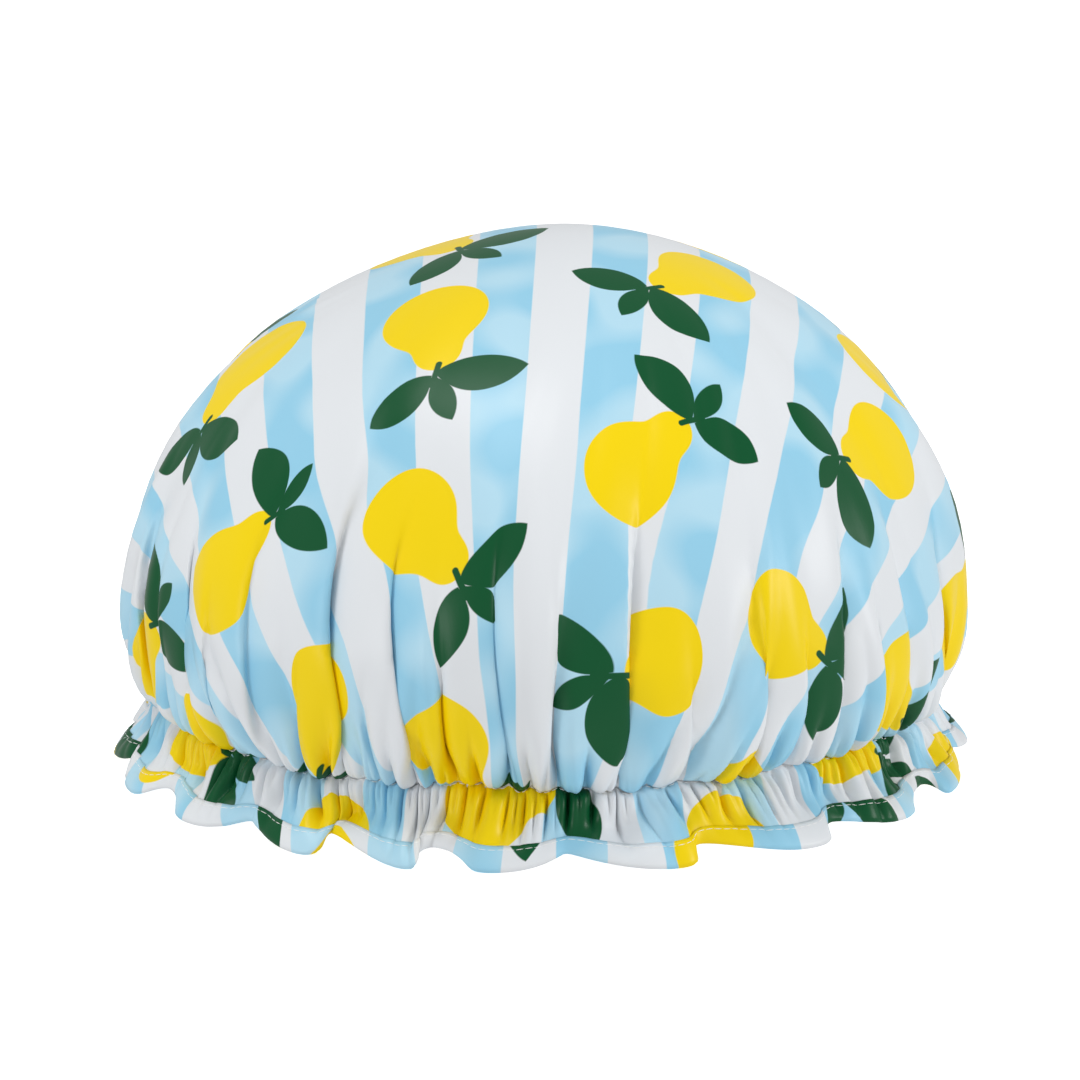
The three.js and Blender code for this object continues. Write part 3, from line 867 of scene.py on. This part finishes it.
class Shader:
    """One material's nodes, written as short sums."""

    def __init__(self, name):
        self.material = bpy.data.materials.new(name)
        self.material.use_nodes = True
        self.tree = self.material.node_tree
        self.surface = self.tree.nodes["Principled BSDF"]

    def put(self, value, socket):
        if isinstance(value, bpy.types.NodeSocket):
            self.tree.links.new(value, socket)
        elif value is not None:
            socket.default_value = value

    def node(self, kind, *values, **settings):
        made = self.tree.nodes.new(kind)
        for name, value in settings.items():
            setattr(made, name, value)
        for value, socket in zip(values, made.inputs):
            self.put(value, socket)
        return made

    def math(self, operation, *values, clamp=False):
        return self.node("ShaderNodeMath", *values, operation=operation, use_clamp=clamp).outputs[0]

    def vector(self, operation, *values):
        made = self.node("ShaderNodeVectorMath", *values, operation=operation)
        return made.outputs["Value" if operation in ("LENGTH", "DOT_PRODUCT", "DISTANCE") else "Vector"]

    def turned(self, vector, angle):
        return self.node("ShaderNodeVectorRotate", vector, (0, 0, 0), (0, 0, 1), angle).outputs[0]

    def parts(self, vector):
        return self.node("ShaderNodeSeparateXYZ", vector).outputs[:]

    def join(self, x, y):
        return self.node("ShaderNodeCombineXYZ", x, y, 0.0).outputs[0]

    def noise(self, place, scale, detail, **settings):
        return self.node("ShaderNodeTexNoise", place, None, scale, detail, **settings).outputs[0]

    def mix(self, share, first, second):
        made = self.node("ShaderNodeMix", data_type="RGBA")
        sockets = {socket.identifier: socket for socket in (*made.inputs, *made.outputs)}
        for name, value in (("Factor_Float", share), ("A_Color", first), ("B_Color", second)):
            self.put(value, sockets[name])
        return sockets["Result_Color"]

    def inside(self, distance):
        """1 inside a printed shape and 0 outside it, over a soft edge."""
        return self.node("ShaderNodeMapRange", distance, -PRINT_EDGE, PRINT_EDGE, 1.0, 0.0).outputs[0]

    def ribs(self, place, pitch):
        """Ribs along a line, from -1 to 1."""
        return self.math("SINE", self.math("MULTIPLY", place, TURN / pitch))

    def bump(self, height, strength, depth):
        made = self.node("ShaderNodeBump", strength, depth, BUMP_FILTER)
        self.put(height, made.inputs["Height"])
        return made.outputs[0]

    def set(self, **values):
        for name, value in values.items():
            self.put(value, self.surface.inputs[name.replace("_", " ")])


# The print
def disc(shader, place, across, up, radius):
    """How far a point is outside a disc."""
    return shader.math("SUBTRACT", shader.vector("DISTANCE", place, (across, up, 0)), radius)


def leaf(shader, place, turn, length, width, bend):
    """How far a point is outside an almond leaf that grows from the leaves' base in the direction turn."""
    half, half_width = length / 2, width / 2
    radius = (half**2 + half_width**2) / (2 * half_width)
    x, y = shader.parts(shader.turned(shader.vector("SUBTRACT", place, LEAF_BASE), -turn))[:2]
    y = shader.math("SUBTRACT", y, half)
    x = shader.math("ADD", x, shader.math("MULTIPLY", shader.math("MULTIPLY", y, y), bend))
    x = shader.math("ADD", shader.math("ABSOLUTE", x), radius - half_width)
    return shader.math("SUBTRACT", shader.vector("LENGTH", shader.join(x, y)), radius)


def stalk(shader, place):
    """How far a point is outside the pear's straight round-ended stalk."""
    reach = STALK_RUN[0] ** 2 + STALK_RUN[1] ** 2
    from_foot = shader.vector("SUBTRACT", place, STALK_FOOT)
    share = shader.math("DIVIDE", shader.vector("DOT_PRODUCT", from_foot, STALK_RUN), reach, clamp=True)
    scaled = shader.node("ShaderNodeVectorMath", STALK_RUN, operation="SCALE")
    shader.put(share, scaled.inputs["Scale"])
    left = shader.vector("SUBTRACT", from_foot, scaled.outputs[0])
    return shader.math("SUBTRACT", shader.vector("LENGTH", left), STALK_RADIUS)


def striped(shader, place):
    """Straight stripes of white and of blue, softly clouded paler and deeper at random: painted sheen and
    shade.
    """
    stripe = shader.math("PINGPONG", shader.parts(place)[0], STRIPE / 2)
    stripes = shader.inside(shader.math("SUBTRACT", stripe, STRIPE / 4))
    # Painted sheen and shade: soft random clouds that mix a deeper and a paler blue.
    sheen_cloud = shader.noise(place, SHEEN_CLOUD_SCALE, 0.0, noise_dimensions="2D")
    sheen_cloud = shader.node("ShaderNodeMapRange", sheen_cloud, *SHEEN_CLOUD_SHARES).outputs[0]
    return shader.mix(stripes, shader.mix(sheen_cloud, BLUE_WITH_PAINTED_SHADE, BLUE_WITH_PAINTED_SHEEN), WHITE)


def in_cell(shader, place):
    """Each point's place about the middle of its cell. Every other column of cells drops by half a cell,
    and each cell is turned by chance."""
    x, y = shader.parts(place)[:2]
    column = shader.math("FLOOR", shader.math("DIVIDE", x, CELL))
    drop = shader.math("MULTIPLY", shader.math("FLOORED_MODULO", column, 2.0), CELL / 2)
    dropped = shader.math("ADD", y, drop)
    row = shader.math("FLOOR", shader.math("DIVIDE", dropped, CELL))
    chance = shader.node("ShaderNodeTexWhiteNoise", shader.join(column, row), noise_dimensions="2D")
    local = [shader.math("SUBTRACT", at, shader.math("MULTIPLY", shader.math("ADD", number, 0.5), CELL))
             for at, number in ((x, column), (dropped, row))]
    return shader.turned(shader.join(*local), shader.math("MULTIPLY", chance.outputs["Value"], TURN))


def print_colour(shader):
    """Awning stripes, their blue clouded with painted sheen and shade, with tossed pears and leaves, drawn
    on the flat cloth, and a point's place there.
    """
    place = shader.node("ShaderNodeUVMap", uv_map="cloth").outputs[0]
    local = in_cell(shader, place)
    pear = shader.math("SMOOTH_MIN", disc(shader, local, *PEAR_BODY), disc(shader, local, *PEAR_NECK),
                       PEAR_BLEND)
    green = shader.math("MINIMUM", stalk(shader, local), disc(shader, local, *KNOT))
    for shape in LEAVES:
        green = shader.math("MINIMUM", green, leaf(shader, local, *shape))
    colour = shader.mix(shader.inside(pear), striped(shader, place), YELLOW)
    return shader.mix(shader.inside(green), colour, GREEN), place


# Materials
def satin(name, pale_share=0.0):
    """Printed satin, smooth and softly glossy, with fine threads, or its paler back."""
    shader = Shader(name)
    colour, place = print_colour(shader)
    if pale_share:
        colour = shader.mix(pale_share, colour, WHITE)
    threads = shader.noise(place, *SATIN_THREADS, noise_dimensions="2D")
    shader.set(Base_Color=colour, Normal=shader.bump(threads, *SATIN_BUMP))
    shader.set(Roughness=SATIN_ROUGHNESS, Specular_IOR_Level=SATIN_GLOSS)
    return shader.material


def film(name):
    """Milky film, through which the print shows faintly."""
    shader = Shader(name)
    colour = shader.mix(FILM_MILK_SHARE, print_colour(shader)[0], FILM_MILK)
    shader.set(Base_Color=colour, Roughness=FILM_ROUGHNESS)
    return shader.material


def tape_cloth(name):
    """Plain white tape with a fine twill."""
    shader = Shader(name)
    x, y = shader.parts(shader.node("ShaderNodeUVMap", uv_map="cloth").outputs[0])[:2]
    twill = shader.ribs(shader.math("ADD", x, y), TWILL_PITCH)
    shader.set(Base_Color=TAPE_WHITE, Roughness=TAPE_ROUGHNESS, Normal=shader.bump(twill, *TAPE_BUMP))
    return shader.material


def thread_cotton(name):
    """White cotton thread with a fine twist."""
    shader = Shader(name)
    twist = shader.noise(shader.node("ShaderNodeTexCoord").outputs["Object"], *COTTON_TWIST)
    shader.set(Base_Color=shader.mix(twist, THREAD_SHADE, PURE_WHITE))
    shader.set(Roughness=THREAD_ROUGHNESS, Normal=shader.bump(twist, *THREAD_BUMP))
    return shader.material


def elastic_weave(name):
    """Ribs across a narrow woven elastic, from the angle round the cap, and cords along it."""
    shader = Shader(name)
    x, y, z = shader.parts(shader.node("ShaderNodeTexCoord").outputs["Object"])
    round_cap = shader.math("MULTIPLY", shader.math("ARCTAN2", y, x), SEAM_RADIUS)
    weave = shader.math("MULTIPLY", shader.ribs(round_cap, RIB_PITCH), shader.ribs(z, CORD_PITCH))
    shader.set(Base_Color=ELASTIC_CREAM, Roughness=ELASTIC_ROUGHNESS,
               Normal=shader.bump(weave, *ELASTIC_BUMP))
    return shader.material


# Dressing the frame
def dress(piece, slot, node, *materials):
    """The piece wears its materials and stands for its CAD node, which it hides. The slot is not used."""
    for material in materials:
        piece.data.materials.append(material)
    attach(piece, "root")
    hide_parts(node)
    return piece


def dress_sheets(lines, hem):
    """The cap's sheets by their short names, the folded tape's points and its flat width."""
    cloth = satin("printed_satin")
    cloth_back = satin("printed_satin_back", BACK_PALE_SHARE)
    sheets = dict(
        crown=dress(crown(lines), "printed_satin", "crown_shell", cloth),
        lining=dress(lining(lines), "waterproof_film", "waterproof_lining", film("waterproof_film")),
        frill=dress(frill(lines, hem), "printed_satin", "frill", cloth, cloth_back),
        band=dress(hem_band(lines, hem), "printed_satin_band", "hem_band", cloth))
    tape, tape_points, tape_width = casing()
    sheets["tape"] = dress(tape, "casing_tape", "casing_tape", tape_cloth("casing_tape"))
    return sheets, tape_points, tape_width


def dress_stitches(lines, hem, tape_points, thread):
    """Every row of stitches that shows, by its name."""
    rows = [(row, "hem_seam_thread") for row in hem_stitches(lines, hem)]
    rows.append((casing_stitches(tape_points), "casing_seam_thread"))
    rows.append((gather_stitches(lines, hem), "gather_seam_thread"))
    for name, shares, surface, node in (
            ("frill_join_stitches", FRILL_JOIN_SHARES, SATIN_THICKNESS, "frill_join_thread"),
            ("band_join_stitches", BAND_JOIN_SHARES, HEM_HALF + SATIN_THICKNESS, "band_join_thread")):
        rows.append((strip_join_stitches(name, lines, hem, shares, surface), node))
    rows.append((tape_join_stitches(tape_points), "tape_join_thread"))
    for row, node in rows:
        dress(row, "sewing_thread", node, thread)
    return {row.name: row for row, node in rows}


def dress_frame(thread):
    """The elastic and its tack stay as the frame has them, with materials of their own."""
    weave = elastic_weave("woven_elastic")
    for node, material in (("elastic_band", weave), ("elastic_join_thread", thread)):
        frame["nodes"][node].data.materials.clear()
        frame["nodes"][node].data.materials.append(material)


def dress_cap():
    """The whole cap, on its frame."""
    lines = crown_folds()
    hem = hem_waves()
    thread = thread_cotton("sewing_thread")
    sheets, tape_points, tape_width = dress_sheets(lines, hem)
    rows = dress_stitches(lines, hem, tape_points, thread)
    dress_frame(thread)


# The camera stands where the photograph's did
CAMERA_DISTANCE = 1.5
CAMERA_RISE = math.radians(12.34)
CAMERA_LENS = 146.6
SENSOR_WIDTH = 36
CAMERA_SHIFT = (-0.0014, -0.0429)
LOOK_HEIGHT = 0.09
FLOOR_REACH = 6.0
FLOOR_GLOW = 0.78
# How strongly the room lights from straight below to straight above
ROOM_LIGHT = (0.93, 0.30)
# Each lamp: its name, place, size and power
LAMPS = (("top", (-0.3, -0.2, 1.6), 0.8, 11.0),
         ("key", (1.7, -0.6, 0.5), 0.7, 13.0),
         ("fill", (-1.2, -1.1, 0.25), 0.6, 6.0))


def camera():
    """The view of the photograph."""
    data = bpy.data.cameras.new("camera")
    data.sensor_width = SENSOR_WIDTH
    data.lens = CAMERA_LENS
    data.shift_x, data.shift_y = CAMERA_SHIFT
    made = add_object("camera", data)
    made.location = (0, -CAMERA_DISTANCE * math.cos(CAMERA_RISE),
                     LOOK_HEIGHT + CAMERA_DISTANCE * math.sin(CAMERA_RISE))
    made.rotation_euler = (math.pi / 2 - CAMERA_RISE, 0, 0)
    bpy.context.scene.camera = made


def lamp(name, place, size, power):
    """A round soft light that faces the cap."""
    data = bpy.data.lights.new(name, "AREA")
    data.shape = "DISK"
    data.size = size
    data.energy = power
    made = add_object(name, data)
    made.location = place
    facing = Vector((0, 0, LOOK_HEIGHT)) - made.location
    made.rotation_euler = facing.to_track_quat("-Z", "Y").to_euler()


def floor():
    """A white floor that glows a little, and lights nothing else."""
    mesh = bpy.data.meshes.new("floor")
    corners = [(FLOOR_REACH * x, FLOOR_REACH * y, 0) for x, y in ((-1, -1), (1, -1), (1, 1), (-1, 1))]
    mesh.from_pydata(corners, [], [(0, 1, 2, 3)])
    made = add_object("floor", mesh)
    shader = Shader("floor_white")
    shader.set(Base_Color=FLOOR_WHITE, Roughness=FLOOR_ROUGHNESS, Specular_IOR_Level=0.0)
    shader.set(Emission_Color=PURE_WHITE, Emission_Strength=FLOOR_GLOW)
    mesh.materials.append(shader.material)
    made.visible_diffuse = False
    made.visible_glossy = False


def room():
    """A bright room, with more light from below than from above."""
    world = bpy.data.worlds.new("room")
    world.use_nodes = True
    nodes, links = world.node_tree.nodes, world.node_tree.links
    direction = nodes.new("ShaderNodeTexCoord")
    height = nodes.new("ShaderNodeSeparateXYZ")
    strength = nodes.new("ShaderNodeMapRange")
    for socket, value in zip(strength.inputs[1:5], (-1.0, 1.0, *ROOM_LIGHT)):
        socket.default_value = value
    links.new(direction.outputs["Generated"], height.inputs[0])
    links.new(height.outputs[2], strength.inputs[0])
    links.new(strength.outputs[0], nodes["Background"].inputs["Strength"])
    nodes["Background"].inputs["Color"].default_value = PURE_WHITE
    bpy.context.scene.world = world


def studio():
    """A plain white floor in a bright room, with three soft lamps."""
    floor()
    room()
    for name, place, size, power in LAMPS:
        lamp(name, place, size, power)
    bpy.context.scene.view_settings.view_transform = "Standard"


dress_cap()
camera()
studio()
